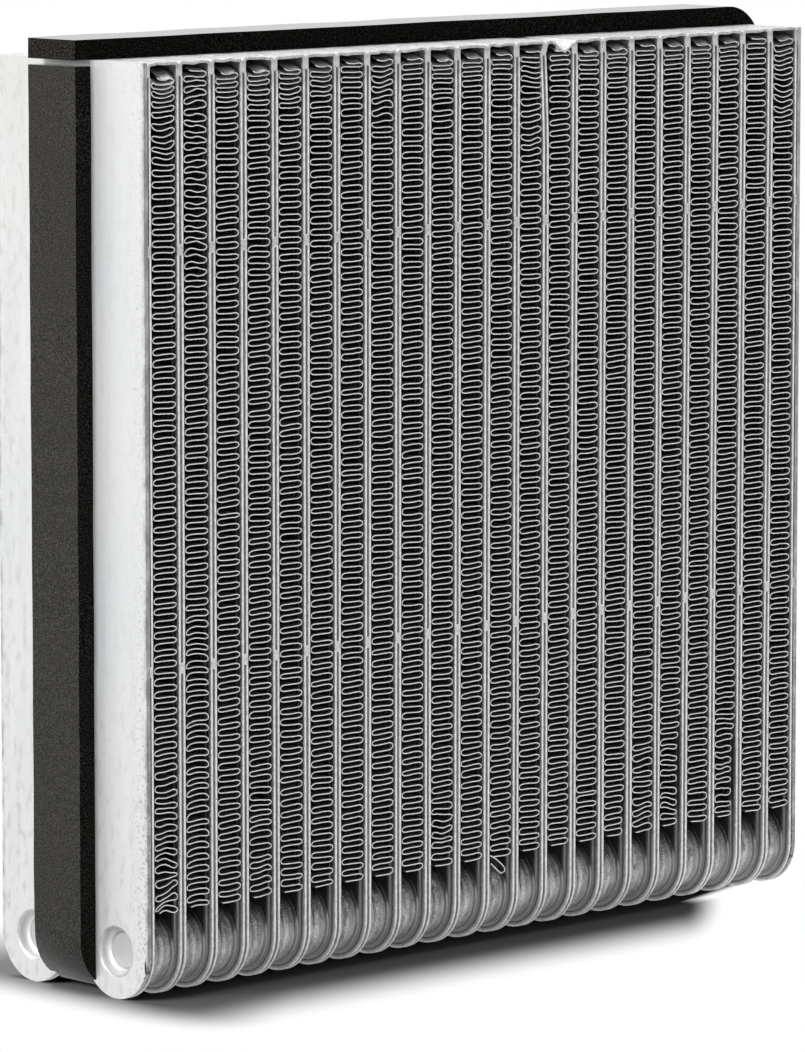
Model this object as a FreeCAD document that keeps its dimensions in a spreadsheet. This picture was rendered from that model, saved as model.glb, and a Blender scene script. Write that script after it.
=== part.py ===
import FreeCAD, Part
import math
import os

import Sketcher
from FreeCAD import Placement, Rotation, Vector

# Laminated evaporator core, standing on its tank end.
# X runs along the row of tubes, Y is the depth of the core with the front at -Y, Z is up.
# The origin is on the ground under the middle of the core.

doc = FreeCAD.newDocument("evaporator_core")

# Driving dimensions in millimetres.
SIZES = {
    "fin_columns": 22,
    "tube_pitch": 11.6,
    "core_depth": 60.0,
    "core_height": 255.0,
    "lobe_radius": 13.0,
    "notch_floor": 7.0,
    "rim_height": 1.1,
    "seam_half": 0.45,
    "seam_depth": 0.8,
    "rim_width": 2.0,
    "face_height": 1.55,
    "sheet_wall": 0.6,
    "rib_width": 4.0,
    "turn_height": 12.0,
    "turn_margin": 6.0,
    "cup_base_radius": 10.8,
    "cup_radius": 10.3,
    "cup_foot_height": 1.0,
    "cup_shoulder": 2.0,
    "tank_hole_radius": 6.5,
    "lip_thickness": 0.7,
    "lip_bend": 1.3,
    "lip_inner_bend": 0.5,
    "lip_setback": 0.25,
    "lip_root": 4.0,
    "crimp_length": 3.0,
    "crimp_low": 91.0,
    "crimp_high": 204.5,
    "fin_bottom": 24.5,
    "fin_headroom": 1.6,
    "fin_folds": 30,
    "fin_thickness": 0.26,
    "fin_setback": 0.3,
    "braze_gap": 0.02,
    "end_thickness": 1.4,
    "dimple_radius": 6.4,
    "dimple_depth": 3.0,
    "dimple_wall": 0.8,
    "dimple_rim_bend": 1.0,
    "dimple_floor_bend": 1.5,
    "inlet_bore_radius": 4.0,
    "outlet_bore_radius": 6.0,
    "port_wall": 1.2,
    "port_stop": 0.8,
    "port_length": 5.0,
    "port_flange_margin": 2.2,
    "port_flange": 1.2,
    "port_clearance": 0.05,
    "foam_thickness": 5.5,
    "foam_width": 19.2,
    "foam_offset": 0.8,
    "foam_lift": 0.5,
    "foam_clearance": 0.3,
    "foam_top_bend": 13.8,
    "foam_base_bend": 15.0,
    "foam_joint_gap": 1.7,
}

sheet = doc.addObject("Spreadsheet::Sheet", "Sizes")
for row, (alias, value) in enumerate(SIZES.items(), start=1):
    sheet.set(f"A{row}", alias)
    sheet.set(f"B{row}", str(value))
    sheet.setAlias(f"B{row}", alias)
doc.recompute()


def size(alias):
    """Value of one driving dimension, read from the sheet."""
    return float(sheet.get(alias))


def bind(item, **formulas):
    """Tie properties to the sheet. A double underscore in a name stands for a dot."""
    for name, formula in formulas.items():
        item.setExpression(name.replace("__", "."), formula)
    return item


def box(name, length, width, height, place):
    """Box whose three sizes and lowest corner are formulas of the sheet."""
    item = doc.addObject("Part::Box", name)
    bind(item, Length=length, Width=width, Height=height)
    return bind(item, Placement__Base__x=place[0], Placement__Base__y=place[1], Placement__Base__z=place[2])


# A round primitive stands along Z, so this turn lays it along +X.
QUARTER_TURN = 90
FULL_TURN = 360
ALONG_X = Rotation(Vector(0, 1, 0), QUARTER_TURN)


def disc(name, radius, length, place):
    """Cylinder along +X."""
    item = doc.addObject("Part::Cylinder", name)
    item.Placement = Placement(Vector(0, 0, 0), ALONG_X)
    bind(item, Radius=radius, Height=length)
    return bind(item, Placement__Base__x=place[0], Placement__Base__y=place[1], Placement__Base__z=place[2])


def cone(name, first_radius, last_radius, length, place):
    """Cone along +X, from its first to its last radius."""
    item = doc.addObject("Part::Cone", name)
    item.Placement = Placement(Vector(0, 0, 0), ALONG_X)
    bind(item, Radius1=first_radius, Radius2=last_radius, Height=length)
    return bind(item, Placement__Base__x=place[0], Placement__Base__y=place[1], Placement__Base__z=place[2])


def fuse(name, pieces):
    item = doc.addObject("Part::MultiFuse", name)
    item.Shapes = pieces
    item.Refine = True
    return item


def cut(name, base, tool):
    item = doc.addObject("Part::Cut", name)
    item.Base = base
    item.Tool = tool
    item.Refine = True
    return item


# The sketcher's numbers for the ends of a line, its own axes and their crossing.
START, END = 1, 2
LEVEL_AXIS = -1
UPRIGHT_AXIS = -2
CROSSING = (LEVEL_AXIS, START)


def sketched_body(name, sketch_name, role):
    """Empty body with a sketch on one of its own origin planes."""
    body = doc.addObject("PartDesign::Body", name)
    body.Label = name
    sketch = body.newObject("Sketcher::SketchObject", sketch_name)
    plane = next(feature for feature in body.Origin.OriginFeatures if feature.Role == role)
    sketch.AttachmentSupport = [(plane, "")]
    sketch.MapMode = "FlatFace"
    return body, sketch


def line(start, end):
    return Part.LineSegment(Vector(*start, 0), Vector(*end, 0))


def quarter_arc(x, y, radius, turn):
    """Quarter of a circle that starts after the given number of quarter turns."""
    circle = Part.Circle(Vector(x, y, 0), Vector(0, 0, 1), radius)
    return Part.ArcOfCircle(circle, turn * math.pi / 2, (turn + 1) * math.pi / 2)


def constrain(sketch, kind, items):
    for item in items:
        sketch.addConstraint(Sketcher.Constraint(kind, *item))


def drive(sketch, measures):
    """Dimensions of a sketch, each with its value now and the formula that keeps it."""
    for kind, ends, value, formula in measures:
        index = sketch.addConstraint(Sketcher.Constraint(kind, *ends, value))
        sketch.setExpression(f"Constraints[{index}]", formula)


# Places that several pieces share, as formulas of the sheet.
MID_GAP = "Sizes.tube_pitch / 2"
TANK_Y = "Sizes.core_depth / 2 - Sizes.lobe_radius"
TANK_Z = "Sizes.lobe_radius"
SIDES = {"front": "-1", "rear": "1"}


def named(alias):
    """A measure: the value of one size now and the formula that keeps it."""
    return size(alias), f"Sizes.{alias}"


def extended(measure, alias):
    value, formula = measure
    return value + size(alias), f"{formula} + Sizes.{alias}"


def drum(name, place, reach, radius, shoulder, flare=None):
    """Round solid along X with a rounded far end. A flare widens its near end in a round lip."""
    body, sketch = sketched_body(name, f"{name}_profile", "XY_Plane")
    length, outside, bend = reach[0], radius[0], shoulder[0]
    wide = flare[0] if flare else 0
    axis, end_face, corner, wall, near_face, lip = range(6)
    sketch.addGeometry([
        line((0, 0), (length, 0)),
        line((length, 0), (length, outside - bend)),
        quarter_arc(length - bend, outside - bend, bend, 0),
        line((length - bend, outside), (wide, outside)),
        line((0, outside + wide), (0, 0)),
    ], False)
    constrain(sketch, "Coincident", [
        (axis, START, *CROSSING),
        (axis, END, end_face, START),
        (near_face, END, axis, START),
    ])
    constrain(sketch, "Tangent", [(end_face, END, corner, START), (corner, END, wall, START)])
    constrain(sketch, "Horizontal", [(axis,), (wall,)])
    constrain(sketch, "Vertical", [(end_face,), (near_face,)])
    if flare:
        sketch.addGeometry(quarter_arc(wide, outside + wide, wide, 2), False)
        constrain(sketch, "Tangent", [(wall, END, lip, END), (lip, START, near_face, START)])
        drive(sketch, [("Radius", (lip,), *flare)])
    else:
        constrain(sketch, "Coincident", [(wall, END, near_face, START)])
    drive(sketch, [
        ("DistanceX", (axis, START, axis, END), *reach),
        ("DistanceY", (*CROSSING, wall, END), *radius),
        ("Radius", (corner,), *shoulder),
    ])
    return turned_body(body, sketch, place)


def turned_body(body, sketch, place):
    """The sketched profile turned about X, with its axis at the given place."""
    turned = body.newObject("PartDesign::Revolution", f"{body.Label}_turned")
    turned.Profile = sketch
    turned.ReferenceAxis = (sketch, ["H_Axis"])
    turned.Angle = FULL_TURN
    return bind(body, Placement__Base__x=place[0], Placement__Base__y=place[1], Placement__Base__z=place[2])


def lobed_sheet(name, inset, start, thickness, top):
    """Plate outline: straight sides, two round lobes at the lower end and the notch between them."""
    body = box(f"{name}_panel", thickness, f"Sizes.core_depth - 2 * ({inset})", f"{top} - Sizes.lobe_radius",
               (start, f"{inset} - Sizes.core_depth / 2", TANK_Z))
    web_height = f"Sizes.lobe_radius - Sizes.notch_floor - ({inset})"
    web = box(f"{name}_web", thickness, f"2 * ({TANK_Y})", web_height,
              (start, f"-({TANK_Y})", f"Sizes.notch_floor + {inset}"))
    pieces = [body, web]
    for side, sign in SIDES.items():
        pieces.append(disc(f"{name}_{side}_lobe", f"Sizes.lobe_radius - ({inset})", thickness,
                           (start, f"{sign} * ({TANK_Y})", TANK_Z)))
    return fuse(name, pieces)


def plate_lip():
    """Upper end of a plate: the sheet leaves the joint in a bend and lies flat over half of the fin gap."""
    body, sketch = sketched_body("plate_lip", "lip_profile", "XZ_Plane")
    top = size("core_height")
    bend = size("lip_bend")
    inner = size("lip_inner_bend")
    rim = size("rim_height")
    reach = size("tube_pitch") / 2
    under = top - size("lip_thickness")
    foot = top - size("lip_root")
    outer_bend, upper_face, tip, under_face, inner_bend, back, root, joint_face = range(8)
    # Both arcs run from their upper end to their left end.
    sketch.addGeometry([
        quarter_arc(bend, top - bend, bend, 1),
        line((bend, top), (reach, top)),
        line((reach, top), (reach, under)),
        line((reach, under), (rim + inner, under)),
        quarter_arc(rim + inner, under - inner, inner, 1),
        line((rim, under - inner), (rim, foot)),
        line((rim, foot), (0, foot)),
        line((0, foot), (0, top - bend)),
    ], False)
    constrain(sketch, "Tangent", [
        (outer_bend, START, upper_face, START),
        (under_face, END, inner_bend, START),
        (inner_bend, END, back, START),
        (joint_face, END, outer_bend, END),
    ])
    constrain(sketch, "Coincident", [
        (upper_face, END, tip, START),
        (tip, END, under_face, START),
        (back, END, root, START),
        (root, END, joint_face, START),
    ])
    constrain(sketch, "Horizontal", [(upper_face,), (under_face,), (root,)])
    constrain(sketch, "Vertical", [(tip,), (back,), (joint_face,)])
    constrain(sketch, "PointOnObject", [(joint_face, END, UPRIGHT_AXIS)])
    drive(sketch, [
        ("Radius", (outer_bend,), bend, "Sizes.lip_bend"),
        ("Radius", (inner_bend,), inner, "Sizes.lip_inner_bend"),
        ("DistanceY", (tip, END, tip, START), top - under, "Sizes.lip_thickness"),
        ("DistanceX", (*CROSSING, tip, START), reach, MID_GAP),
        ("DistanceY", (*CROSSING, tip, START), top, "Sizes.core_height"),
        ("DistanceX", (*CROSSING, back, END), rim, "Sizes.rim_height"),
        ("DistanceY", (back, END, upper_face, START), top - foot, "Sizes.lip_root"),
    ])
    pad = body.newObject("PartDesign::Pad", "lip_sheet")
    pad.Profile = sketch
    pad.Midplane = True
    bind(pad, Length="Sizes.core_depth - 2 * Sizes.lip_setback")
    return body


def crimp_tabs():
    """Small tabs that close the seam groove at two heights, on the front and the rear edge."""
    tabs = []
    starts = {"front": "-Sizes.core_depth / 2", "rear": "Sizes.core_depth / 2 - Sizes.seam_depth"}
    for level in ("low", "high"):
        for side, start in starts.items():
            place = ("0", start, f"Sizes.crimp_{level} - Sizes.crimp_length / 2")
            tabs.append(box(f"crimp_{level}_{side}", "Sizes.seam_half", "Sizes.seam_depth",
                            "Sizes.crimp_length", place))
    return tabs


def tank_cup(side, sign):
    """Drawn cup of one tank: a sloped foot and a straight wall that turns round into the flat end wall."""
    foot = cone(f"cup_foot_{side}", "Sizes.cup_base_radius", "Sizes.cup_radius", "Sizes.cup_foot_height",
                ("Sizes.face_height", f"{sign} * ({TANK_Y})", TANK_Z))
    wall = drum(f"cup_wall_{side}", ("0", f"{sign} * ({TANK_Y})", TANK_Z),
                (size("tube_pitch") / 2, MID_GAP), named("cup_radius"), named("cup_shoulder"))
    return [foot, wall]


def passages():
    """Hollow side of a plate: two legs of the passage and the turn above the rib between them."""
    depth = "Sizes.face_height - Sizes.sheet_wall"
    margin = "Sizes.rim_width + Sizes.sheet_wall"
    span = f"Sizes.core_depth / 2 - Sizes.rib_width / 2 - ({margin})"
    top = "Sizes.core_height - Sizes.turn_margin"
    edge = f"{margin} - Sizes.core_depth / 2"
    hollows = [box("passage_turn", depth, f"Sizes.core_depth - 2 * ({margin})", "Sizes.turn_height",
                   ("0", edge, f"{top} - Sizes.turn_height"))]
    for side, start in (("front", edge), ("rear", "Sizes.rib_width / 2")):
        hollows.append(box(f"passage_{side}", depth, span, f"{top} - {TANK_Z}", ("0", start, TANK_Z)))
    return hollows


def cup_hollow(side, sign):
    """Inside of a drawn cup: a straight part and a slope within the round shoulder, up to the end wall."""
    place_y = f"{sign} * ({TANK_Y})"
    shoulder = f"{MID_GAP} - Sizes.cup_shoulder"
    flat_radius = "Sizes.cup_radius - Sizes.cup_shoulder"
    straight = disc(f"cup_hollow_{side}_wall", "Sizes.cup_radius - Sizes.sheet_wall", shoulder,
                    ("0", place_y, TANK_Z))
    slope = cone(f"cup_hollow_{side}_slope", "Sizes.cup_radius - Sizes.sheet_wall", flat_radius,
                 "Sizes.cup_shoulder - Sizes.sheet_wall", (shoulder, place_y, TANK_Z))
    return [straight, slope]


def tank_hole(side, sign):
    """Hole through the end wall of a cup, so that each tank runs on through all its cups."""
    return disc(f"tank_hole_{side}", "Sizes.tank_hole_radius", "Sizes.tube_pitch",
                ("0", f"{sign} * ({TANK_Y})", TANK_Z))


def stamped_plate():
    """One stamped plate with its joint face on X = 0 and its cups towards +X."""
    lip_foot = "(Sizes.core_height - Sizes.lip_root)"
    layers = [
        lobed_sheet("seam_layer", "Sizes.seam_depth", "0", "Sizes.seam_half", lip_foot),
        lobed_sheet("rim_layer", "0", "Sizes.seam_half", "Sizes.rim_height - Sizes.seam_half", lip_foot),
        lobed_sheet("raised_face", "Sizes.rim_width", "Sizes.rim_height",
                    "Sizes.face_height - Sizes.rim_height", lip_foot),
        plate_lip(),
    ]
    for side, sign in SIDES.items():
        layers += tank_cup(side, sign)
    blank = fuse("plate_blank", layers + crimp_tabs())
    hollows = passages()
    for side, sign in SIDES.items():
        hollows += cup_hollow(side, sign)
        hollows.append(tank_hole(side, sign))
    return cut("stamped_plate", blank, fuse("plate_hollows", hollows))


def tank_divider():
    """Disc pressed into the holes of two rear cups where their end walls meet, so that it closes the tank."""
    plug = disc("divider_disc", "Sizes.tank_hole_radius - Sizes.braze_gap", "2 * Sizes.sheet_wall",
                ("-Sizes.sheet_wall", f"{SIDES['rear']} * ({TANK_Y})", TANK_Z))
    # It stands beside the middle tube and turns the flow into two passes.
    return placed("tank_divider", [plug], lattice("floor(Sizes.fin_columns / 2) - 1 / 2"))


def mirrored(name, source):
    """The same stamping turned to face the other way."""
    item = doc.addObject("Part::Mirroring", name)
    item.Source = source
    item.Normal = Vector(1, 0, 0)
    return item


def placed(name, pieces, x_formula):
    """Named sub-part made of the given solids, moved along X."""
    item = doc.addObject("Part::Compound", name)
    item.Links = pieces
    item.Label = name
    return bind(item, Placement__Base__x=x_formula)


def lattice(index):
    """Formula for the joint plane of an element, counted from the left end."""
    return f"({index} - Sizes.fin_columns / 2) * Sizes.tube_pitch"


def folded_fin():
    """Serpentine strip in one fin gap, centred on X = 0, as a zigzag of even thickness."""
    half = size("tube_pitch") / 2 - size("face_height") - size("braze_gap")
    bottom = size("fin_bottom")
    top = size("core_height") - size("lip_thickness") - size("fin_headroom")
    legs = 2 * int(size("fin_folds"))
    metal = size("fin_thickness")
    depth = size("core_depth") - 2 * size("fin_setback")
    step = (top - bottom) / legs
    # Both faces of the strip are one zigzag, moved sideways by the metal measured level across a leg.
    level_metal = metal * (1 + (2 * half / step) ** 2) ** 0.5
    corners = [(half if leg % 2 else level_metal - half, bottom + leg * step) for leg in range(legs + 1)]
    right_face = [Vector(x, 0, z) for x, z in corners]
    left_face = [Vector(x - level_metal, 0, z) for x, z in reversed(corners)]
    outline = Part.makePolygon(right_face + left_face + right_face[:1])
    solid = Part.Face(outline).extrude(Vector(0, depth, 0))
    solid.translate(Vector(0, -depth / 2, 0))
    fin = doc.addObject("Part::Feature", "folded_fin")
    fin.Shape = solid
    return fin


def left_end_plate():
    """Thick end plate with two blind dimples pressed into the end cups."""
    panel = lobed_sheet("left_panel", "0", "-Sizes.end_thickness", "Sizes.end_thickness", "Sizes.core_height")
    dimple = [named("dimple_depth"), named("dimple_radius"), named("dimple_floor_bend")]
    pushed_out = [extended(measure, "dimple_wall") for measure in dimple]
    shells = []
    recesses = []
    for side, sign in SIDES.items():
        place = ("-Sizes.end_thickness", f"{sign} * ({TANK_Y})", TANK_Z)
        shells.append(drum(f"dimple_shell_{side}", place, *pushed_out))
        recesses.append(drum(f"dimple_recess_{side}", place, *dimple, flare=named("dimple_rim_bend")))
    pressed = fuse("left_pressed", [panel] + shells)
    return cut("left_end", pressed, fuse("left_recesses", recesses))


# Bore and side of each pipe port, and the radii that its neighbours share.
PORTS = {
    "inlet_port": ("Sizes.inlet_bore_radius", SIDES["rear"]),
    "outlet_port": ("Sizes.outlet_bore_radius", SIDES["front"]),
}


def neck_radius(bore):
    return f"{bore} + Sizes.port_wall"


def flange_radius(bore):
    return f"{neck_radius(bore)} + Sizes.port_flange_margin"


def right_end_plate():
    """Thick end plate with a round hole for each port, at the end away from the dimples."""
    panel = lobed_sheet("right_panel", "0", "0", "Sizes.end_thickness", "Sizes.core_height")
    holes = []
    for name, (bore, sign) in PORTS.items():
        holes.append(disc(f"{name}_hole", f"{neck_radius(bore)} + Sizes.port_clearance",
                          "Sizes.end_thickness", ("0", f"{sign} * ({TANK_Y})", TANK_Z)))
    return cut("right_end", panel, fuse("right_holes", holes))


def port_collar(name, bore, sign):
    """Turned collar: a spigot in the end plate, a flange on its face and a socket with a stop for a pipe."""
    body, sketch = sketched_body(name, f"{name}_profile", "XY_Plane")
    socket = size(bore.removeprefix("Sizes."))
    throat = socket - size("port_stop")
    neck = socket + size("port_wall")
    flange = neck + size("port_flange_margin")
    back = -size("end_thickness")
    mouth = size("port_length")
    step = size("port_flange")
    corners = [(back, throat), (0, throat), (0, socket), (mouth, socket), (mouth, neck), (step, neck),
               (step, flange), (0, flange), (0, neck), (back, neck)]
    (throat_wall, stop_face, socket_wall, mouth_face, neck_wall, flange_front, flange_rim, flange_back,
     spigot_wall, spigot_end) = range(len(corners))
    following = corners[1:] + corners[:1]
    sketch.addGeometry([line(start, end) for start, end in zip(corners, following)], False)
    count = len(corners)
    constrain(sketch, "Coincident", [(index, END, (index + 1) % count, START) for index in range(count)])
    constrain(sketch, "Horizontal", [(index,) for index in range(throat_wall, count, 2)])
    constrain(sketch, "Vertical", [(index,) for index in range(stop_face, count, 2)])
    constrain(sketch, "PointOnObject", [(stop_face, START, UPRIGHT_AXIS), (flange_back, START, UPRIGHT_AXIS)])
    drive(sketch, [
        ("DistanceX", (throat_wall, START, *CROSSING), -back, "Sizes.end_thickness"),
        ("DistanceX", (*CROSSING, mouth_face, START), mouth, "Sizes.port_length"),
        ("DistanceX", (*CROSSING, flange_front, START), step, "Sizes.port_flange"),
        ("DistanceY", (*CROSSING, throat_wall, START), throat, f"{bore} - Sizes.port_stop"),
        ("DistanceY", (*CROSSING, socket_wall, START), socket, bore),
        ("DistanceY", (*CROSSING, neck_wall, START), neck, neck_radius(bore)),
        ("DistanceY", (*CROSSING, flange_rim, START), flange, flange_radius(bore)),
        ("DistanceY", (*CROSSING, spigot_wall, START), neck, neck_radius(bore)),
    ])
    place_x = f"{lattice('Sizes.fin_columns')} + Sizes.end_thickness"
    return turned_body(body, sketch, (place_x, f"{sign} * ({TANK_Y})", TANK_Z))


CORE_LENGTH = "(Sizes.fin_columns * Sizes.tube_pitch + 2 * Sizes.end_thickness)"


def foam_outline():
    """Closed block with the outer shape of the wrap, seen along the depth of the core."""
    body, sketch = sketched_body("foam_wrap", "foam_outline", "XZ_Plane")
    side = size("fin_columns") * size("tube_pitch") / 2 + size("end_thickness") + size("foam_thickness")
    low = size("foam_lift")
    high = size("core_height") + size("foam_thickness")
    base = size("foam_base_bend")
    corner = size("foam_top_bend")
    underside, right_base, right_side, right_top, upper_side, left_side, left_base = range(7)
    sketch.addGeometry([
        line((base - side, low), (side - base, low)),
        quarter_arc(side - base, low + base, base, 3),
        line((side, low + base), (side, high - corner)),
        quarter_arc(side - corner, high - corner, corner, 0),
        line((side - corner, high), (-side, high)),
        line((-side, high), (-side, low + base)),
        quarter_arc(base - side, low + base, base, 2),
    ], False)
    constrain(sketch, "Horizontal", [(underside,), (upper_side,)])
    constrain(sketch, "Vertical", [(right_side,), (left_side,)])
    constrain(sketch, "Tangent", [
        (underside, END, right_base, START),
        (right_base, END, right_side, START),
        (right_side, END, right_top, START),
        (right_top, END, upper_side, START),
        (left_side, END, left_base, START),
        (left_base, END, underside, START),
    ])
    constrain(sketch, "Coincident", [(upper_side, END, left_side, START)])
    reach = f"{CORE_LENGTH} / 2 + Sizes.foam_thickness"
    drive(sketch, [
        ("Radius", (right_base,), base, "Sizes.foam_base_bend"),
        ("Radius", (left_base,), base, "Sizes.foam_base_bend"),
        ("Radius", (right_top,), corner, "Sizes.foam_top_bend"),
        ("DistanceX", (*CROSSING, right_side, START), side, reach),
        ("DistanceX", (left_side, START, *CROSSING), side, reach),
        ("DistanceY", (*CROSSING, underside, START), low, "Sizes.foam_lift"),
        ("DistanceY", (*CROSSING, upper_side, START), high, "Sizes.core_height + Sizes.foam_thickness"),
    ])
    pad = body.newObject("PartDesign::Pad", "foam_block")
    pad.Profile = sketch
    pad.Midplane = True
    bind(pad, Length="Sizes.foam_width")
    return bind(body, Placement__Base__y="Sizes.foam_offset")


def foam_seal():
    """Strip of foam round the core, squeezed between the tank lobes and notched round the port flanges."""
    left_face = f"-{CORE_LENGTH} / 2"
    front_face = "-Sizes.core_depth / 2"
    room = [box("foam_core_room", CORE_LENGTH, "Sizes.core_depth", "Sizes.core_height - Sizes.notch_floor",
                (left_face, front_face, "Sizes.notch_floor"))]
    for side, sign in SIDES.items():
        room.append(disc(f"foam_{side}_lobe_room", "Sizes.lobe_radius + Sizes.foam_clearance", CORE_LENGTH,
                         (left_face, f"{sign} * ({TANK_Y})", TANK_Z)))
    for name, (bore, sign) in PORTS.items():
        room.append(disc(f"foam_{name}_room", f"{flange_radius(bore)} + Sizes.foam_clearance",
                         "Sizes.foam_thickness", (f"{CORE_LENGTH} / 2", f"{sign} * ({TANK_Y})", TANK_Z)))
    # The end of the wrap stops a little below the top and leaves an open joint there.
    room.append(box("foam_joint", "Sizes.foam_thickness", "Sizes.core_depth", "Sizes.foam_joint_gap",
                    (f"{left_face} - Sizes.foam_thickness", front_face,
                     "Sizes.core_height - Sizes.foam_joint_gap")))
    strip = cut("foam_strip", foam_outline(), fuse("foam_room", room))
    return placed("foam_seal_strip", [strip], "0")


# Masters, then the named sub-parts that use them.
plate = stamped_plate()
plate_mirror = mirrored("plate_mirror", plate)
fin_master = folded_fin()

columns = int(size("fin_columns"))
nodes = [placed("end_plate_left", [left_end_plate()], lattice(0)),
         placed("tank_plate_left", [plate], lattice(0))]
for number in range(1, columns):
    nodes.append(placed(f"tube_{number:02d}", [plate_mirror, plate], lattice(number)))
nodes += [tank_divider(),
          placed("tank_plate_right", [plate_mirror], lattice("Sizes.fin_columns")),
          placed("end_plate_right", [right_end_plate()], lattice("Sizes.fin_columns"))]
for number in range(1, columns + 1):
    nodes.append(placed(f"fin_{number:02d}", [fin_master], lattice(f"{number} - 1 / 2")))
for port_name, (port_bore, port_sign) in PORTS.items():
    nodes.append(port_collar(port_name, port_bore, port_sign))
nodes.append(foam_seal())

doc.recompute()
for item in doc.Objects:
    if "Invalid" in item.State or "Error" in item.State:
        raise RuntimeError(f"{item.Label} did not build: {item.State}")

os.makedirs("parts", exist_ok=True)
for node in nodes:
    if node.Shape.isNull() or not node.Shape.isValid():
        raise RuntimeError(f"{node.Label} has no valid shape")
for node in nodes:
    node.Shape.exportStep(f"parts/{node.Label}.step")
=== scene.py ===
import math
import random

import bmesh
import bpy
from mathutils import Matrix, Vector, noise


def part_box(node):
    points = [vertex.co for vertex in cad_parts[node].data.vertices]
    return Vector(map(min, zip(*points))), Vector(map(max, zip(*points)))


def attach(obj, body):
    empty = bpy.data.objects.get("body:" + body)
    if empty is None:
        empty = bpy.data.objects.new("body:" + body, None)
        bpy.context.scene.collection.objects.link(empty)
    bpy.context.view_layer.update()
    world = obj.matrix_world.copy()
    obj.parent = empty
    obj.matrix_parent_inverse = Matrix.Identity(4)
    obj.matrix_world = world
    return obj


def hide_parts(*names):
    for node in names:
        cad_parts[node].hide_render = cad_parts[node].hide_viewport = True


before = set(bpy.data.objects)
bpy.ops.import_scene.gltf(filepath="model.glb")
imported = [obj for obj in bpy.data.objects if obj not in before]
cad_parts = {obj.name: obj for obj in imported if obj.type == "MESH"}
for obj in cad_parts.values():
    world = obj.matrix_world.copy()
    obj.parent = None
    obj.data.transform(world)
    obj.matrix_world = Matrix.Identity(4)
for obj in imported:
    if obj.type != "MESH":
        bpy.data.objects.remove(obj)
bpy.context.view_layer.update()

# Camera. The core is seen from its front left, a little above the middle, with a long lens.
# The place and the lens come from the 21 tubes and the plate corners in the photograph.
LOOK_TURN = math.radians(-44.092)
LOOK_RISE = math.radians(7.045)
LOOK_DISTANCE = 1.89394
LENS_PIXELS = 6645.9
PHOTO_WIDTH = 805
SENSOR_MM = 36
VIEW_LIMIT = 20
# How far the middle of the picture lies to the left of the core's middle, and below it.
AIM_LEFT = 0.00302
AIM_BELOW = 0.01094

core_middle = Vector((0, 0, 0.1275))
to_camera = Vector((math.sin(LOOK_TURN) * math.cos(LOOK_RISE),
                    -math.cos(LOOK_TURN) * math.cos(LOOK_RISE), math.sin(LOOK_RISE)))
sideways = Vector((math.cos(LOOK_TURN), math.sin(LOOK_TURN), 0))
camera_data = bpy.data.cameras.new("camera")
camera_data.sensor_fit = "HORIZONTAL"
camera_data.sensor_width = SENSOR_MM
camera_data.lens = LENS_PIXELS / PHOTO_WIDTH * SENSOR_MM
camera_data.clip_end = VIEW_LIMIT
camera = bpy.data.objects.new("camera", camera_data)
camera.location = core_middle + to_camera * LOOK_DISTANCE
aim = core_middle - sideways * AIM_LEFT - Vector((0, 0, AIM_BELOW))
camera.rotation_euler = (aim - camera.location).to_track_quat("-Z", "Y").to_euler()
bpy.context.scene.collection.objects.link(camera)
bpy.context.scene.camera = camera
bpy.context.scene.view_settings.view_transform = "Standard"


# Studio. A pale table under soft lamps, with the main light from the upper left, a little behind the core.
# Only the camera, reflections and clear views see plain white, in the room and on the table further out.
class Signal:
    """Output of a shader node, so that shader maths reads as plain arithmetic."""

    def __init__(self, finish, socket):
        self.finish = finish
        self.socket = socket

    def math(self, operation, first, second):
        return self.finish.node("ShaderNodeMath", {"operation": operation}, {0: first, 1: second})

    def __add__(self, other):
        return self.math("ADD", self, other)

    def __sub__(self, other):
        return self.math("SUBTRACT", self, other)

    def __rsub__(self, other):
        return self.math("SUBTRACT", other, self)

    def __mul__(self, other):
        return self.math("MULTIPLY", self, other)

    def above(self, other):
        return self.math("MAXIMUM", self, other)

    def power(self, exponent):
        return self.math("POWER", self, exponent)

    def size(self):
        """How far the value is from zero."""
        return self.math("ABSOLUTE", self, 0)

    __radd__ = __add__
    __rmul__ = __mul__


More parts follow.
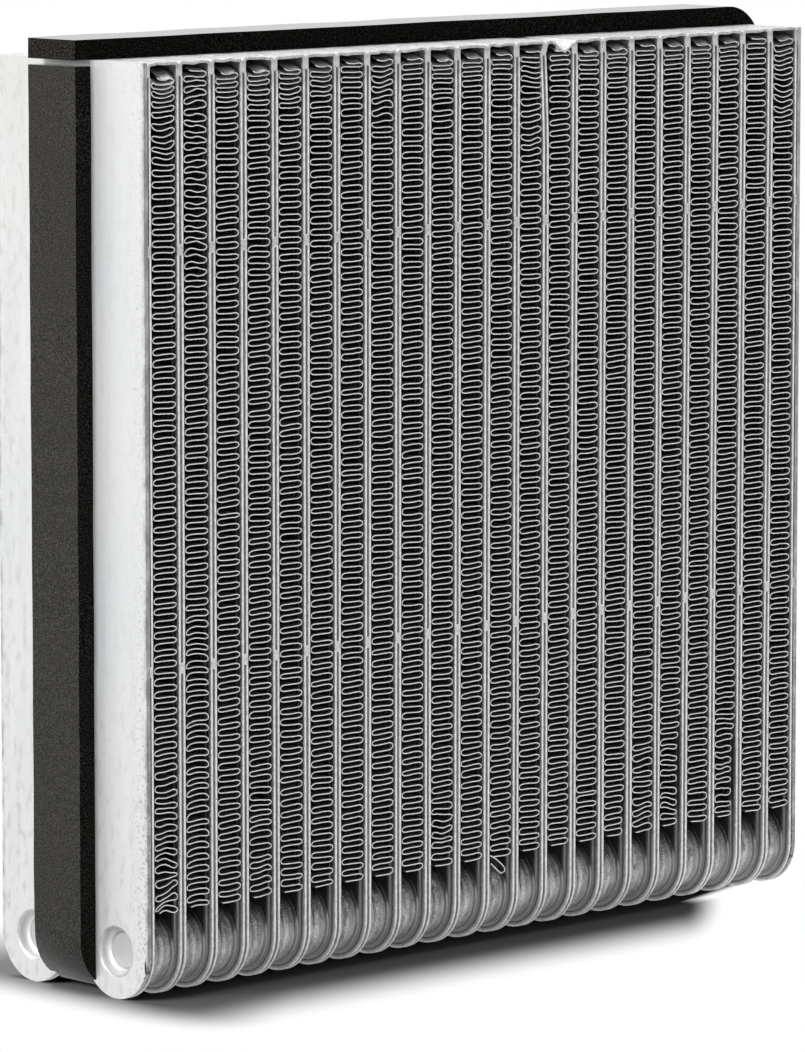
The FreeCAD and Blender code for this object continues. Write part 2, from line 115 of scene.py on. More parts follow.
class Finish:
    """Node tree of one finish."""

    def __init__(self, owner, base="Principled BSDF"):
        owner.use_nodes = True
        self.tree = owner.node_tree
        self.base = self.tree.nodes[base]

    def node(self, kind, settings, sockets, out=0):
        """Add a node, first its settings and then its sockets, and give one of its outputs."""
        made = self.tree.nodes.new(kind)
        for name, value in settings.items():
            if name == "stops":
                ramp = made.color_ramp.elements
                while len(ramp) < len(value):
                    ramp.new(0.5)
                for element, (place, colour) in zip(ramp, value):
                    element.position = place
                    element.color = colour
            else:
                setattr(made, name, value)
        self.join(made, sockets)
        return Signal(self, made.outputs[out])

    def join(self, made, sockets):
        """Link each socket to a signal, or set it to a value."""
        for name, value in sockets.items():
            socket = made.inputs[name]
            if isinstance(value, Signal):
                self.tree.links.new(value.socket, socket)
            else:
                socket.default_value = value

    def surface(self, **sockets):
        """Feed the finish's own shader."""
        self.join(self.base, {name.replace("_", " "): value for name, value in sockets.items()})

    def cover(self, share, shader):
        """Lay another shader over the finish."""
        under = Signal(self, self.base.outputs[0])
        mixed = self.node("ShaderNodeMixShader", {}, {0: share, 1: under, 2: shader})
        self.join(self.tree.nodes["Material Output"], {"Surface": mixed})

    def place(self, stretch=(1, 1, 1)):
        """Point on the piece, in metres, with the pattern stretched along the axes."""
        here = self.node("ShaderNodeTexCoord", {}, {}, "Object")
        return self.node("ShaderNodeMapping", {}, {"Vector": here, "Scale": stretch})

    def grain(self, scale, detail=2, stretch=(1, 1, 1), rough=0.5):
        """Uneven pattern around 0.5, finer with a larger scale."""
        sockets = {"Vector": self.place(stretch), "Scale": scale, "Detail": detail, "Roughness": rough}
        return self.node("ShaderNodeTexNoise", {}, sockets, "Fac")

    def between(self, value, low, high, change="LINEAR"):
        """0 below low, 1 above high and even in between."""
        return self.node("ShaderNodeMapRange", {"interpolation_type": change},
                         {"Value": value, "From Min": low, "From Max": high})

    def mix(self, share, first, second):
        """First colour where the share is 0, second colour where it is 1."""
        made = self.tree.nodes.new("ShaderNodeMix")
        made.data_type = "RGBA"
        self.join(made, {0: share, 6: first, 7: second})
        return Signal(self, made.outputs[2])

    def relief(self, height, depth, strength):
        return self.node("ShaderNodeBump", {}, {"Height": height, "Distance": depth, "Strength": strength})

    def axis(self, name):
        """One coordinate of the point on the piece, in metres."""
        here = self.node("ShaderNodeTexCoord", {}, {}, "Object")
        return self.node("ShaderNodeSeparateXYZ", {}, {"Vector": here}, name)

    def ray(self, kind):
        return self.node("ShaderNodeLightPath", {}, {}, kind)

    def seen_directly(self):
        """1 for what the camera, a reflection or a clear piece shows, 0 for light on the object."""
        shown = self.ray("Is Camera Ray").above(self.ray("Is Glossy Ray"))
        shown = shown.above(self.ray("Is Transmission Ray"))
        return shown * (1 - self.ray("Diffuse Depth")).above(0)


def grey(level):
    return (level, level, level, 1)


ROOM_LIGHT = 0.05
room = bpy.data.worlds.new("studio_room")
bpy.context.scene.world = room
walls = Finish(room, "Background")
walls.join(walls.base, {"Color": grey(1), "Strength": walls.seen_directly() * (1 - ROOM_LIGHT) + ROOM_LIGHT})

# The table keeps the lamps' shadow of the core, partly painted, and is plain white beyond a soft outline
# round it.
# The outline runs from the core's left end to a little short of its right end.
TABLE_HALF_WIDTH = 6
SHADOW_LEFT = -0.122
SHADOW_RIGHT = 0.115
SHADOW_HALF_DEPTH = 0.030
# From the middle of the core towards the front, its right end moves back by a step between these two places.
SHADOW_STEP = 0.034
SHADOW_STEP_PLACE = (0.015, 0.025)
# It ends more sharply at the core's ends than in front of it, by these factors.
LEFT_FADE = 2.2
RIGHT_FADE = 3.5
# Distance past the core where the white starts, and where it is full.
SHADOW_REACH = (0.009, 0.062)
# To the right of these places the shadow in front is narrower, by this share.
NARROW_PLACE = (-0.115, -0.075)
NARROW_SHARE = 0.45
# Reflections in the metal show the white of the table from this much nearer to the core.
MIRROR_LEAD = 0.038
bm = bmesh.new()
bmesh.ops.create_grid(bm, x_segments=1, y_segments=1, size=TABLE_HALF_WIDTH)
table_mesh = bpy.data.meshes.new("table_top")
bm.to_mesh(table_mesh)
bm.free()
table_top = bpy.data.objects.new("table_top", table_mesh)
bpy.context.scene.collection.objects.link(table_top)
paint = bpy.data.materials.new("pale_table")
pale = Finish(paint)
# Painted shadow in part: the table's own grey is dark, which deepens the lamps' shadow inside the outline.
pale.surface(Base_Color=grey(0.26), Roughness=0.9, Specular_IOR_Level=0.0)
across = pale.axis("X")
ahead = (-SHADOW_HALF_DEPTH - pale.axis("Y")).above(0)
narrower = ahead * (pale.between(across + ahead, *NARROW_PLACE) * NARROW_SHARE + 1)
behind = (pale.axis("Y") - SHADOW_HALF_DEPTH).above(0)
past_left = (SHADOW_LEFT - across).above(0) * LEFT_FADE
step_back = pale.between(0 - pale.axis("Y"), *SHADOW_STEP_PLACE) * SHADOW_STEP
past_right = (across + ahead + step_back - SHADOW_RIGHT).above(0) * RIGHT_FADE
from_core = ((past_left + past_right).power(2) + (narrower + behind).power(2)).power(0.5)
from_core = from_core + pale.ray("Is Glossy Ray") * MIRROR_LEAD
glow = pale.node("ShaderNodeEmission", {}, {"Color": grey(1), "Strength": 1})
# Painted shadow in part: the outline's given shape, not the lamps, decides where the shadow ends.
pale.cover(pale.between(from_core, *SHADOW_REACH, "SMOOTHSTEP") * pale.seen_directly(), glow)
table_mesh.materials.append(paint)

# Place, width and power of each lamp.
LAMPS = {
    "left_lamp": ((-1.7, 0.10, 0.9), 0.8, 22.5),
    "front_lamp": ((0.6, -2.0, 0.9), 1.4, 1.5),
    "top_lamp": ((-0.1, 0.55, 1.9), 0.9, 24),
}
for name, (spot, side, power) in LAMPS.items():
    lamp_data = bpy.data.lights.new(name, "AREA")
    lamp_data.shape = "SQUARE"
    lamp_data.size = side
    lamp_data.energy = power
    lamp = bpy.data.objects.new(name, lamp_data)
    lamp.location = spot
    lamp.rotation_euler = (core_middle - lamp.location).to_track_quat("-Z", "Y").to_euler()
    bpy.context.scene.collection.objects.link(lamp)


# Flat tubes with their tank cups. Each is a pair of thin aluminium stampings brazed face to face.
# The upper end of every plate is bent over the fins as a lip, and handling has left its edge wavy.
def new_material(name):
    material = bpy.data.materials.new(name)
    return material, Finish(material)


# Outline of a plate: a straight edge on each side of the middle, and a round lobe about each tank's axis,
# which is given by its distance from the middle and its height.
PLATE_HALF_DEPTH = 0.030
TANK_AXIS = (0.017, 0.013)
LOBE_RADIUS = 0.013
# Grey of the drawn cups by height, from the table up: painted shade below and above, a painted highlight
# between.
CUP_TOP = 0.0265
CUP_LIGHT_AND_SHADE = [(0.0, grey(0.10)), (0.14, grey(0.42)), (0.40, grey(0.88)), (0.58, grey(0.50)),
             (0.78, grey(0.20)), (1.0, grey(0.06))]
# Grey of the plate by the distance from its outline: bright edge, painted shade in the corner, pale rim,
# painted shade on the face.
RIM_SPAN = 0.0032
RIM_TONES_AND_SHADE = [(0.0, grey(0.97)), (0.14, grey(0.97)), (0.22, grey(0.46)), (0.32, grey(0.42)),
             (0.38, grey(0.10)), (0.44, grey(0.10)), (0.52, grey(0.50)), (0.80, grey(0.44)),
             (0.90, grey(0.10)), (1.0, grey(0.10))]
# Soft borders, each from its start to its end: round a cup, at the foot of the lip, of the shade under the
# lip, at the top of the tanks, and between the rim and the deep face.
CUP_BORDER = (0.0100, 0.0106)
LIP_FOOT = (0.2515, 0.2535)
LIP_SHADE = (0.2460, 0.2480)
TANK_TOP = (0.0270, 0.0300)
RIM_BORDER = (0.0011, 0.0016)
# Heights of the two rows of crimps along each plate's edge, and how much each row is dulled.
TAB_TONES = ((0.091, 0.6), (0.2045, 0.95))
TAB_BORDER = (0.0010, 0.0018)

stamped_sheet, finish = new_material("stamped_sheet")
height = finish.axis("Z")
inside = finish.axis("Y").size()
below_axis = (TANK_AXIS[1] - height).above(0)
tank_distance = ((inside - TANK_AXIS[0]).power(2) + (height - TANK_AXIS[1]).power(2)).power(0.5)
lobe_distance = ((inside - TANK_AXIS[0]).power(2) + below_axis.power(2)).power(0.5)
from_outline = finish.mix(finish.between(below_axis, 0, 0.0001), PLATE_HALF_DEPTH - inside,
                          LOBE_RADIUS - lobe_distance)
cup_share = 1 - finish.between(tank_distance, *CUP_BORDER)
below_lip = 1 - finish.between(height, *LIP_FOOT)
low_part = 1 - finish.between(height, *TANK_TOP)
deep_shade = finish.between(from_outline, *RIM_BORDER) * below_lip
blotch = finish.grain(700, 3, rough=0.7)
fine = finish.grain(2300, 3, rough=0.7)
crease = finish.grain(260, 3, stretch=(1.6, 1, 0.4))
flux = finish.between(finish.grain(2000, 2), 0.58, 0.68) * cup_share
wrinkle_shade = finish.between(finish.grain(420, 2, stretch=(1.4, 1, 0.6)), 0.52, 0.64) * cup_share
speck = finish.between(finish.grain(1300, 2), 0.70, 0.75)
# Painted shade and highlight on the cups by height, with a wavy border.
cup_height = finish.between(height + (crease - 0.5) * 0.012 + (blotch - 0.5) * 0.005, 0, CUP_TOP)
cup_light_and_shade = finish.node("ShaderNodeValToRGB", {"stops": CUP_LIGHT_AND_SHADE}, {"Fac": cup_height}, "Color")
# Painted shade along the outline, in the corner behind the edge and on the face further in.
rim_place = finish.between(from_outline, 0, RIM_SPAN)
rim_tone_and_shade = finish.node("ShaderNodeValToRGB", {"stops": RIM_TONES_AND_SHADE}, {"Fac": rim_place}, "Color")
lip_tone = finish.mix(finish.between(blotch, 0.35, 0.60), grey(0.34), grey(0.66))
tone = finish.mix(below_lip, lip_tone, rim_tone_and_shade)
tone = finish.mix(finish.between(height, *LIP_SHADE) * below_lip * 0.45, tone, grey(0.40))
# Painted shade on the deep face above the tanks.
tone = finish.mix(deep_shade * (1 - low_part), tone, grey(0.11))
tone = finish.mix(finish.between(blotch, 0.42, 0.66) * 0.45 * (1 - deep_shade), tone, grey(0.42))
tone = finish.mix(cup_share, tone, cup_light_and_shade)
# Painted shade in wrinkles on the upper part of the cups.
tone = finish.mix(wrinkle_shade * finish.between(height, 0.006, 0.016) * 0.8, tone, grey(0.13))
tone = finish.mix(finish.between(fine, 0.45, 0.75) * (1 - deep_shade * 0.7) * 0.35, tone, grey(0.92))
tone = finish.mix(finish.between(fine, 0.52, 0.40) * cup_share * 0.45, tone, grey(0.10))
tone = finish.mix(flux * 0.8, tone, grey(0.95))
tone = finish.mix(speck * (1 - cup_share), tone, grey(0.12))
for tab_height, strength in TAB_TONES:
    tab = 1 - finish.between((height - tab_height).size(), *TAB_BORDER)
    tone = finish.mix(tab * finish.between(fine, 0.35, 0.65) * strength, tone, grey(0.30))
finish.surface(Base_Color=tone, Metallic=0.85 - flux * 0.3, Roughness=0.36 + cup_share * 0.04 + fine * 0.12,
               Normal=finish.relief(fine * 0.35 + blotch * 0.25 + crease * cup_share * 1.5, 0.0012, 0.8))

# The lip's edge waves up and down, more at the front and rear ends than further in.
LIP_ZONE = 0.0038
LIP_DEPTH = 0.0024
LIP_BEND = 0.0012
LIP_WAVE = 0.00042
LIP_REACH = 0.007
LIP_SLICES = 9
LIP_ROWS = (0.0012, 0.003, 0.006, 0.011)

# One tube was knocked aside at its front upper end, and the lip beside it hangs down in a point.
BENT_TUBE = "tube_13"
BENT_PUSH = -0.0014
BENT_HEIGHT = 0.034
BENT_DEPTH = 0.025
BENT_SLICES = 8
BENT_START = (0.0010, 0.0015)
FLAP_PLACE = 0.0308
FLAP_HALF_WIDTH = 0.0045
FLAP_DROP = 0.0030


# A cut through a mesh takes points that are nearer to it than this as lying on it.
CUT_NEAR = 0.00001
FLAT_ANGLE = math.radians(1)


def merged_copy(node_name, near):
    """Copy of a CAD node as one merged mesh, with its flat faces whole."""
    bm = bmesh.new()
    bm.from_mesh(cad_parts[node_name].data)
    bmesh.ops.remove_doubles(bm, verts=bm.verts, dist=near)
    bmesh.ops.dissolve_limit(bm, angle_limit=FLAT_ANGLE, verts=bm.verts, edges=bm.edges)
    return bm


def cut(bm, spot, across, above=None):
    """Cut a mesh along a plane, all of it or only its faces above a height."""
    if above is None:
        parts = list(bm.verts) + list(bm.edges) + list(bm.faces)
    else:
        faces = {face for face in bm.faces if min(vert.co.z for vert in face.verts) > above}
        parts = list(faces | {part for face in faces for part in (*face.edges, *face.verts)})
    bmesh.ops.bisect_plane(bm, geom=parts, plane_co=spot, plane_no=across, dist=CUT_NEAR)


def worn_copy(node_name):
    """Copy of a stamped plate's node with its lip cut into short lengths and made wavy."""
    low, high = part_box(node_name)
    bm = merged_copy(node_name, 0.000002)
    slices = [low.x + (high.x - low.x) * (step + 0.5) / LIP_SLICES for step in range(LIP_SLICES)]
    rows = [edge + sign * depth for edge, sign in ((low.y, 1), (high.y, -1)) for depth in LIP_ROWS]
    cuts = [((x, 0, 0), (1, 0, 0)) for x in slices] + [((0, y, 0), (0, 1, 0)) for y in rows]
    for spot, across in cuts:
        cut(bm, spot, across, above=high.z - LIP_ZONE)
    for vert in bm.verts:
        flat = max(0.0, min(1.0, (vert.co.z - (high.z - LIP_DEPTH)) / LIP_BEND))
        depth = min(vert.co.y - low.y, high.y - vert.co.y)
        wave = noise.noise(Vector((vert.co.x * 330, 0 if vert.co.y < 0 else 9, vert.co.y * 20)))
        drop = LIP_WAVE * (0.35 - wave)
        if vert.co.y < 0:
            drop += FLAP_DROP * max(0.0, 1 - abs(vert.co.x - FLAP_PLACE) / FLAP_HALF_WIDTH)
        vert.co.z -= flat * drop * math.exp(-depth / LIP_REACH)
    return bm


def lean(bm, top):
    """Push the upper front end of a tube aside in a smooth bend, while its lip stays in place."""
    for step in range(1, BENT_SLICES):
        cut(bm, (0, 0, top - BENT_HEIGHT * step / BENT_SLICES), (0, 0, 1))
    for vert in bm.verts:
        share = max(0.0, 1 - (top - vert.co.z) / BENT_HEIGHT)
        front = max(0.0, 1 - (vert.co.y + PLATE_HALF_DEPTH) / BENT_DEPTH)
        held = min(1.0, max(0.0, (top - vert.co.z - BENT_START[0]) / BENT_START[1]))
        vert.co.x += BENT_PUSH * share ** 1.6 * front * held


def add_piece(name, bm, material, slot, *stands_for):
    """Turn a bmesh into a piece of the object, with its finish and the CAD nodes that it stands for."""
    mesh = bpy.data.meshes.new(name)
    bm.to_mesh(mesh)
    bm.free()
    piece = bpy.data.objects.new(name, mesh)
    bpy.context.scene.collection.objects.link(piece)
    mesh.materials.append(material)
    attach(piece, "root")
    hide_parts(*stands_for)
    return piece


def dress(material, *node_names):
    """Give its finish to each CAD node that stays as it is."""
    for node_name in node_names:
        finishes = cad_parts[node_name].data.materials
        finishes.clear()
        finishes.append(material)


for node_name in [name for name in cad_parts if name.startswith(("tube", "tank_plate"))]:
    worn = worn_copy(node_name)
    if node_name == BENT_TUBE:
        lean(worn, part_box(node_name)[1].z)
    add_piece(f"worn_{node_name}", worn, stamped_sheet, "tube_plates", node_name)
dress(stamped_sheet, "tank_divider")


# Folded fins, one strip of thin louvred aluminium in each gap, about 71 folds high.
# The strip is folded by toothed rollers, slid in by hand and brazed at its crowns, so no two folds are alike.
FIN_LEG = 0.0016
FIN_SHEET = 0.00028
# The folded strip reaches a little nearer to the lips than the plain one.
FIN_RISE = 0.0008
# A crown is a stretched half circle, and its two legs lean together by a share of a fold.
CROWN_PINCH = -0.01
CROWN_TURNS = (-68, -34, 0, 34, 68)
CROWN_STRETCH = 1.9
FIN_WAVE = 0.00013
FOLD_SCATTER = 0.065
# Depths at which the strip is divided, and places of the points along a leg, from one crown to the other.
FIN_DEPTHS = (0, 0.0012, 0.0035, 0.0559, 0.0582, 0.0594)
LEG_POINTS = (-1, -0.55, -0.1, 0.35, 0.8)
TOP_LEG_POINTS = (-1, -0.85, -0.7, -0.55, -0.4, -0.2, 0, 0.2, 0.4, 0.6, 0.8)
TOP_LEGS = 4

# Stretches where a strip was bent by handling: from and to height, waviness, bow up or down, and how far
# the crowns swell into bulbs. Each stretch starts and ends gently.
BEND_EASE = 0.008
BENT = {
    1: [(0.014, 0.042, 0.0006, 0, 0), (0.020, 0.075, 0.0004, 0, 0), (0.222, 0.256, 0.0003, -0.0005, 0)],
    2: [(0.190, 0.256, 0.0003, 0, 0.0003), (0.020, 0.110, 0.0001, 0.0006, 0)],
    3: [(0.240, 0.256, 0.0001, -0.0005, 0)],
    4: [(0.020, 0.060, 0.0003, 0.0003, 0), (0.240, 0.256, 0.0001, -0.0004, 0)],
    5: [(0.236, 0.256, 0.0001, -0.0005, 0)],
    6: [(0.235, 0.256, 0.0003, -0.0003, 0)],
    8: [(0.228, 0.256, 0.0003, 0, 0)],
    10: [(0.022, 0.045, 0.0004, 0, 0)],
    13: [(0.220, 0.256, 0.0003, -0.0004, 0)],
    17: [(0.022, 0.050, 0.0004, 0, 0)],
    18: [(0.022, 0.050, 0.0004, 0.0003, 0)],
    20: [(0.022, 0.070, 0.0003, 0, 0)],
    22: [(0.225, 0.256, 0.0002, -0.0009, 0)],
}

# Stretches where the folds were pushed towards the left, and how much narrower they are there.
SQUEEZED = {16: (0.014, 0.040, 0.10), 18: (0.014, 0.056, 0.15), 20: (0.014, 0.052, 0.17)}


def part_of_bend(level, start, stop):
    """1 inside a bent stretch, and less towards its two ends."""
    return max(0.0, min(1.0, (level - start) / BEND_EASE, (stop - level) / BEND_EASE))


def fin_profile(number, low, high):
    """Side view of one folded strip from its lowest leg up: points in its gap, each with its leg's number."""
    chance = random.Random(number)
    middle = (low.x + high.x) / 2
    half = (high.x - low.x) / 2 - FIN_SHEET / 2
    legs = round((high.z - low.z) / FIN_LEG)
    step = (high.z - low.z) / legs
    crown = step * (0.5 - CROWN_PINCH)
    reach = half - crown * CROWN_STRETCH
    lift = [chance.gauss(0, step * FOLD_SCATTER) for _ in range(legs + 1)]
    points = []
    for leg in range(legs + 1):
        side = 1 if leg % 2 == 0 else -1
        level = low.z + leg * step + lift[leg]
        for share in TOP_LEG_POINTS if legs - leg < TOP_LEGS else LEG_POINTS:
            points.append((share * reach * side, level + share * CROWN_PINCH * step, leg, -side))
        if leg < legs:
            rise = (lift[leg + 1] - lift[leg]) / 2
            centre = level + step / 2 + rise
            for turn in CROWN_TURNS:
                angle = math.radians(turn)
                points.append((side * (reach + crown * CROWN_STRETCH * math.cos(angle)),
                               centre + (crown + rise) * math.sin(angle), leg + 0.5, 0))
    shaped = []
    for across, level, leg, pinch in points:
        bend, arch, bulb = FIN_WAVE, 0.0, 0.0
        for start, stop, wave, bow, swell in BENT.get(number, []):
            share = part_of_bend(level, start, stop)
            bend += wave * share
            arch += bow * share
            bulb += swell * share
        place = Vector((across * 210, level * 130, number * 7.3))
        level += bend * noise.noise(place) * 2 + arch * (1 - (across / half) ** 2)
        level += bulb * pinch * math.exp(-((across / half - 0.15) / 0.3) ** 2)
        across += bend * 0.25 * noise.noise(place + Vector((40, 0, 0)))
        start, stop, squeeze = SQUEEZED.get(number, (0, 0, 0))
        across -= (across + half) * squeeze * part_of_bend(level, start, stop)
        across = max(-half, min(half, across))
        shaped.append((Vector((middle + across, low.y, level)), across / half, legs - leg))
    return shaped


# How far the legs below the lips are pressed down at their front and rear edges, as shares of the strip's own
# dip from the top leg on. The dip lies in a range, and the first strip's is deeper.
PRESSED = (1.0, 0.80, 0.62, 0.47, 0.34, 0.23, 0.14, 0.07)
PRESSED_ZONE = 0.0125
PRESSED_ROWS = (0.0006, 0.0022, 0.005, 0.0075)
PRESSED_REACH = 0.0024
TOP_DIPS = (0.0012, 0.0025)
FIRST_DIP = 0.0034

# The last fold of one strip hangs down at the front. Its points go across from the gap's left side, and down
# from the strip's end.
LOOSE_FOLD = "fin_12"
LOOSE_POINTS = ((0, 0), (0.0022, -0.0012), (0.0045, -0.0030), (0.0058, -0.0043), (0.0056, -0.0053),
                (0.0042, -0.0056), (0.0022, -0.0040), (0.0002, -0.0023))
LOOSE_DEPTH = 0.003


def press_top(point, across, leg_from_top, depth, dip):
    """The top leg hangs from the lip on its left and bends down at its edge, and the next legs give way."""
    lower = int(leg_from_top)
    upper = min(lower + 1, len(PRESSED) - 1)
    if lower >= len(PRESSED):
        return
    rate = leg_from_top - lower
    share = PRESSED[lower] * (1 - rate) + PRESSED[upper] * rate
    if leg_from_top < 0.5:
        share *= math.sin(math.pi / 2 * min(1.0, max(0.0, (across + 1) / 0.95))) ** 0.8
        share *= 1 - 0.30 * max(0.0, across - 0.25)
    point.z -= dip * share * math.exp(-depth / PRESSED_REACH)


# Distances from the middle: the bright cut edge of the strip, and where a top leg's painted highlight starts.
CUT_EDGE = (0.02935, 0.02955)
LEAF_HIGHLIGHT_PLACE = (0.0262, 0.0288)
fin_metal, finish = new_material("fin_metal")
inside = finish.axis("Y").size()
edge = finish.between(inside, *CUT_EDGE)
top_leaf = finish.node("ShaderNodeAttribute", {"attribute_name": "top_leaf"}, {}, "Fac")
slit_wave = finish.node("ShaderNodeTexWave", {"wave_type": "BANDS", "bands_direction": "Y"},
                        {"Vector": finish.place(), "Scale": 180, "Distortion": 0.4}, "Fac")
cloud = finish.grain(500, 2)
# Behind the cut edge the legs carry painted shade, banded by the louvres.
depth_shade_tone = finish.mix(slit_wave, grey(0.11), grey(0.52))
# The top legs carry a painted highlight towards their front edge.
leaf_highlight = finish.mix(finish.between(inside, *LEAF_HIGHLIGHT_PLACE), grey(0.38), grey(1.0))
edge_tone = finish.mix(finish.between(cloud, 0.35, 0.65), grey(0.82), grey(1.0))
tone = finish.mix(edge, finish.mix(top_leaf, depth_shade_tone, leaf_highlight), edge_tone)
finish.surface(Base_Color=tone, Metallic=0.7, Roughness=0.50 - edge * 0.10 - top_leaf * 0.20)

for number in range(1, 23):
    node_name = f"fin_{number:02d}"
    low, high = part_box(node_name)
    high.z += FIN_RISE
    dip = FIRST_DIP if number == 1 else random.Random(100 + number).uniform(*TOP_DIPS)
    profile = fin_profile(number, low, high)
    bm = bmesh.new()
    leaf = bm.verts.layers.float.new("top_leaf")
    row = [bm.verts.new(point) for point, across, leg_from_top in profile]
    for vert, (point, across, leg_from_top) in zip(row, profile):
        vert[leaf] = max(0.0, min(1.0, 1.4 - leg_from_top))
    edges = [bm.edges.new(pair) for pair in zip(row, row[1:])]
    rows = [row]
    for near, far in zip(FIN_DEPTHS, FIN_DEPTHS[1:]):
        sweep = bmesh.ops.extrude_edge_only(bm, edges=edges)["geom"]
        moved = [part for part in sweep if isinstance(part, bmesh.types.BMVert)]
        bmesh.ops.translate(bm, verts=moved, vec=(0, far - near, 0))
        edges = [part for part in sweep if isinstance(part, bmesh.types.BMEdge)
                 and all(vert in moved for vert in part.verts)]
    for depth in PRESSED_ROWS:
        for y in (low.y + depth, high.y - depth):
            cut(bm, (0, y, 0), (0, 1, 0), above=high.z - PRESSED_ZONE)
    by_place = {(round(point.x, 7), round(point.z, 7)): (across, leg) for point, across, leg in profile}
    for vert in bm.verts:
        across, leg_from_top = by_place[(round(vert.co.x, 7), round(vert.co.z, 7))]
        press_top(vert.co, across, leg_from_top, min(vert.co.y - low.y, high.y - vert.co.y), dip)
    if node_name == LOOSE_FOLD:
        start = Vector((low.x + FIN_SHEET, low.y, low.z + FIN_SHEET))
        hung = [bm.verts.new(start + Vector((x, 0, z))) for x, z in LOOSE_POINTS]
        edges = [bm.edges.new(pair) for pair in zip(hung, hung[1:])]
        sweep = bmesh.ops.extrude_edge_only(bm, edges=edges)["geom"]
        moved = [part for part in sweep if isinstance(part, bmesh.types.BMVert)]
        bmesh.ops.translate(bm, verts=moved, vec=(0, LOOSE_DEPTH, 0))
    bmesh.ops.recalc_face_normals(bm, faces=bm.faces)
    strip = add_piece(f"fin_strip_{number:02d}", bm, fin_metal, "fins", node_name)
    sheet = strip.modifiers.new("sheet", "SOLIDIFY")
    sheet.thickness = FIN_SHEET
    sheet.offset = 0


# End plates. Thicker pale sheet aluminium that closes the stack, with two round dimples pressed into the left
# one. Rolling leaves faint upright streaks, and handling leaves small dark marks along the front edge.
# A short gap in the front edge at this depth and height is painted nearly black, as painted shade.
GAP_SHADE = (-0.0291, 0.0102)
GAP_SHADE_BORDER = (0.0012, 0.0018)
# Radius of each line of painted shade round the dimples, where the wall bends, and how dark it is.
DIMPLE_SHADE_LINES = ((0.0050, 0.7), (0.0068, 0.5))
LINE_BORDER = (0.0001, 0.0005)
DIMPLE_FLOOR = (0.0048, 0.0062)
# A painted highlight lies on the dimples' wall, on its lower rear side.
HIGHLIGHT_RADIUS = 0.0058
HIGHLIGHT_BORDER = (0.0006, 0.0011)
HIGHLIGHT_SIDE = (0.0020, 0.0060)
# Zones of wear, and of a warmer tint at the top, each from its start to its end along the depth or the
# height.
FRONT_WEAR = (-0.0294, -0.0225)
REAR_WEAR = (0.0120, 0.0290)
EDGE_WEAR = (0.0286, 0.0298)
LOW_WEAR = (0.02, 0.12)
WARM_TOP = (0.19, 0.25)

end_sheet, finish = new_material("end_sheet")
depth_place = finish.axis("Y")
height = finish.axis("Z")
streak = finish.grain(60, 4, stretch=(1, 9, 0.35), rough=0.6)
cloud = finish.grain(16, 3, stretch=(1, 1, 0.6))
scuff = finish.grain(420, 3, stretch=(1, 1, 0.5))
fine = finish.grain(2600, 2, rough=0.7)
front_zone = 1 - finish.between(depth_place, *FRONT_WEAR)
rear_zone = finish.between(depth_place, *REAR_WEAR)
border = finish.between(depth_place.size(), *EDGE_WEAR)
low_zone = 1 - finish.between(height, *LOW_WEAR)
tone = finish.mix(finish.between(streak, 0.30, 0.70), grey(0.88), grey(0.97))
tone = finish.mix(finish.between(cloud, 0.46, 0.62) * (1 - low_zone) * 0.7, tone, (0.80, 0.86, 0.90, 1))
tone = finish.mix(finish.between(height, *WARM_TOP) * 0.5, tone, (0.88, 0.86, 0.81, 1))
# Painted light: the plate is painted lighter towards its front edge, up to white.
tone = finish.mix(finish.between(0 - depth_place, 0, 0.020) * 0.6, tone, grey(1.0))
tone = finish.mix(finish.between(scuff, 0.52, 0.68) * (rear_zone * 0.25 + low_zone * 0.2 + 0.1), tone,
                  (0.56, 0.53, 0.49, 1))
tone = finish.mix(finish.between(fine, 0.45, 0.80) * 0.22, tone, grey(0.62))
tank_distance = ((depth_place.size() - TANK_AXIS[0]).power(2) + (height - TANK_AXIS[1]).power(2)).power(0.5)
dimple_floor = 1 - finish.between(tank_distance, *DIMPLE_FLOOR)
tone = finish.mix(dimple_floor * 0.4, tone, finish.mix(scuff, grey(0.34), grey(0.62)))
# Painted shade in lines where the dimples' wall bends.
for radius, strength in DIMPLE_SHADE_LINES:
    line = 1 - finish.between((tank_distance - radius).size(), *LINE_BORDER)
    tone = finish.mix(line * finish.between(scuff, 0.30, 0.55) * strength, tone, grey(0.26))
# Painted highlight on the lower rear side of each dimple's wall.
highlight_side = finish.between(depth_place + TANK_AXIS[0] - (height - TANK_AXIS[1]), *HIGHLIGHT_SIDE)
highlight_ring = 1 - finish.between((tank_distance - HIGHLIGHT_RADIUS).size(), *HIGHLIGHT_BORDER)
tone = finish.mix(highlight_ring * highlight_side * 0.95, tone, grey(1.0))
tone = finish.mix(border * finish.between(scuff, 0.35, 0.60) * 0.7, tone, (0.40, 0.38, 0.35, 1))
rust = finish.between(finish.grain(1000, 2), 0.54, 0.64) * front_zone * (low_zone * 0.75 + 0.25)
tone = finish.mix(rust * 0.7, tone, (0.34, 0.28, 0.25, 1))
mark = finish.between(finish.grain(1600, 2), 0.67, 0.73) * (front_zone + rear_zone * 0.5)
tone = finish.mix(mark * 0.8, tone, grey(0.16))
# Painted shade: the short gap in the front edge is painted nearly black.
gap_shade_distance = (((depth_place - GAP_SHADE[0]) * 4).power(2) + ((height - GAP_SHADE[1]) * 0.8).power(2)).power(0.5)
tone = finish.mix(1 - finish.between(gap_shade_distance, *GAP_SHADE_BORDER), tone, grey(0.02))
finish.surface(Base_Color=tone, Metallic=0.30, Roughness=0.34 + streak * 0.12,
               Normal=finish.relief(streak * 0.3 + fine * 0.25 + cloud * 0.25, 0.0006, 0.6))
dress(end_sheet, "end_plate_left", "end_plate_right")


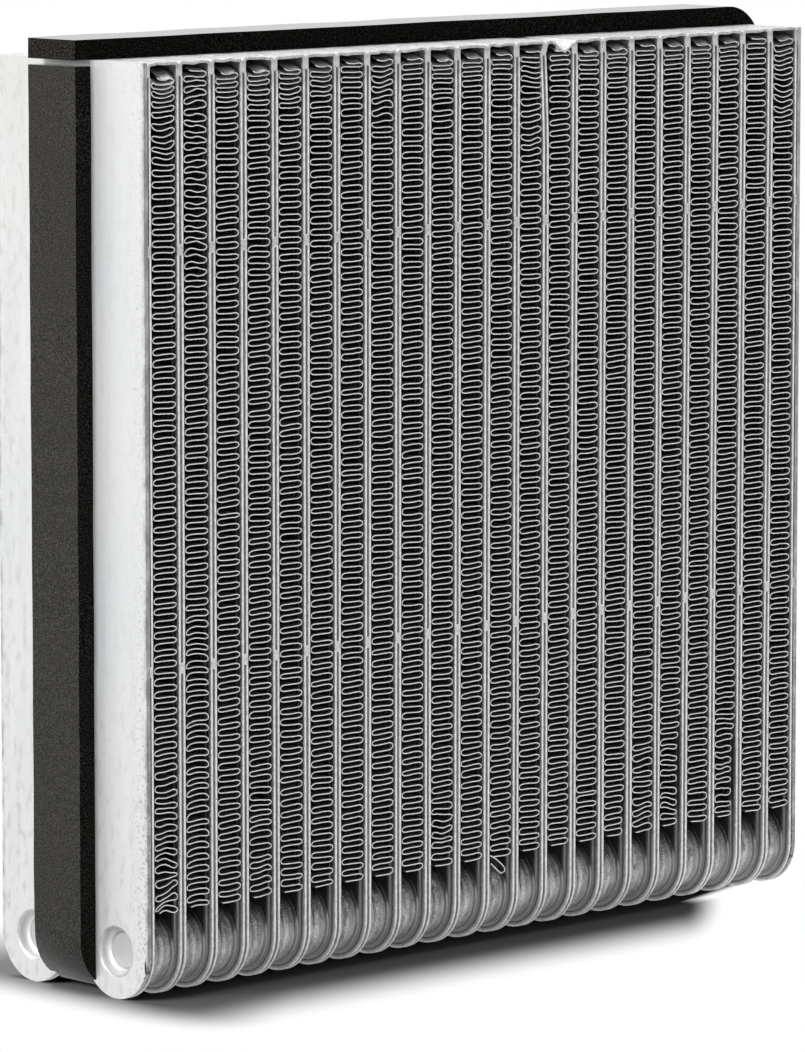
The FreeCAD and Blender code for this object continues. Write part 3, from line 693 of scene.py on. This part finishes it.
# Pipe sockets, turned from aluminium bar and brazed into the right end plate.
# The tool leaves fine rings round the axis.
turned_metal, finish = new_material("turned_metal")
ring = finish.grain(900, 2, stretch=(6, 1, 1))
finish.surface(Base_Color=finish.mix(ring, grey(0.66), grey(0.82)), Metallic=1.0,
               Roughness=0.24 + ring * 0.15, Normal=finish.relief(ring, 0.0001, 0.3))
dress(turned_metal, "inlet_port", "outlet_port")


# Foam seal, a strip of black closed-cell foam glued round the core and squeezed between the tanks below.
# It is cut from sheet: its edges are crisp, its cut sides show opened cells and its faces have a skin.
FOAM_LENGTHS = 24
FOAM_WAVE = 0.00022
FOAM_SEED = 1
FOAM_EDGE = 0.00045
# An end of the strip over the core lies within this distance of the top.
STRIP_THICKNESS = 0.008
# A face counts as turned to an axis when its normal reaches this far along it.
TURNED = 0.7

foam_black, finish = new_material("foam_black")
cut_side = finish.node("ShaderNodeAttribute", {"attribute_name": "cut_side"}, {}, "Fac")
top_side = finish.node("ShaderNodeAttribute", {"attribute_name": "top_side"}, {}, "Fac")
cell = finish.grain(2400, 2, rough=0.8)
big_cell = finish.grain(700, 2)
skin = finish.mix(finish.between(cell, 0.48, 0.58), (0.001, 0.001, 0.0008, 1),
                  (0.078, 0.071, 0.061, 1))
opened = finish.mix(finish.between(cell, 0.50, 0.68), (0.003, 0.0028, 0.0025, 1),
                    (0.13, 0.12, 0.107, 1))
tone = finish.mix(cut_side, skin, opened)
finish.surface(Base_Color=tone, Roughness=0.9, Specular_IOR_Level=0.03,
               Coat_Weight=(1 - cut_side) * 0.55 + top_side * 0.45, Coat_Roughness=0.15,
               Normal=finish.relief(cell * 0.7 + big_cell * 0.3, 0.0004, 0.5))
low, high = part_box("foam_seal_strip")
bm = merged_copy("foam_seal_strip", 0.00001)
for axis in (0, 2):
    for step in range(1, FOAM_LENGTHS):
        spot, across = Vector(), Vector()
        spot[axis] = low[axis] + (high[axis] - low[axis]) * step / FOAM_LENGTHS
        across[axis] = 1
        cut(bm, spot, across)
sides = bm.faces.layers.float.new("cut_side")
tops = bm.faces.layers.float.new("top_side")
for face in bm.faces:
    strip_end = abs(face.normal.x) > TURNED and face.calc_center_median().z > high.z - STRIP_THICKNESS
    face[sides] = 1.0 if abs(face.normal.y) > TURNED else 0.8 * strip_end
    face[tops] = float(face.normal.z > TURNED)
# Without a seed, these waves would differ from run to run.
noise.seed_set(FOAM_SEED)
for vert in bm.verts:
    vert.co += noise.noise_vector(vert.co * 45) * FOAM_WAVE
foam_wrap = add_piece("foam_wrap", bm, foam_black, "foam", "foam_seal_strip")
cut_edge = foam_wrap.modifiers.new("cut_edge", "BEVEL")
cut_edge.width = FOAM_EDGE
cut_edge.segments = 2
cut_edge.limit_method = "ANGLE"
cut_edge.angle_limit = math.radians(40)
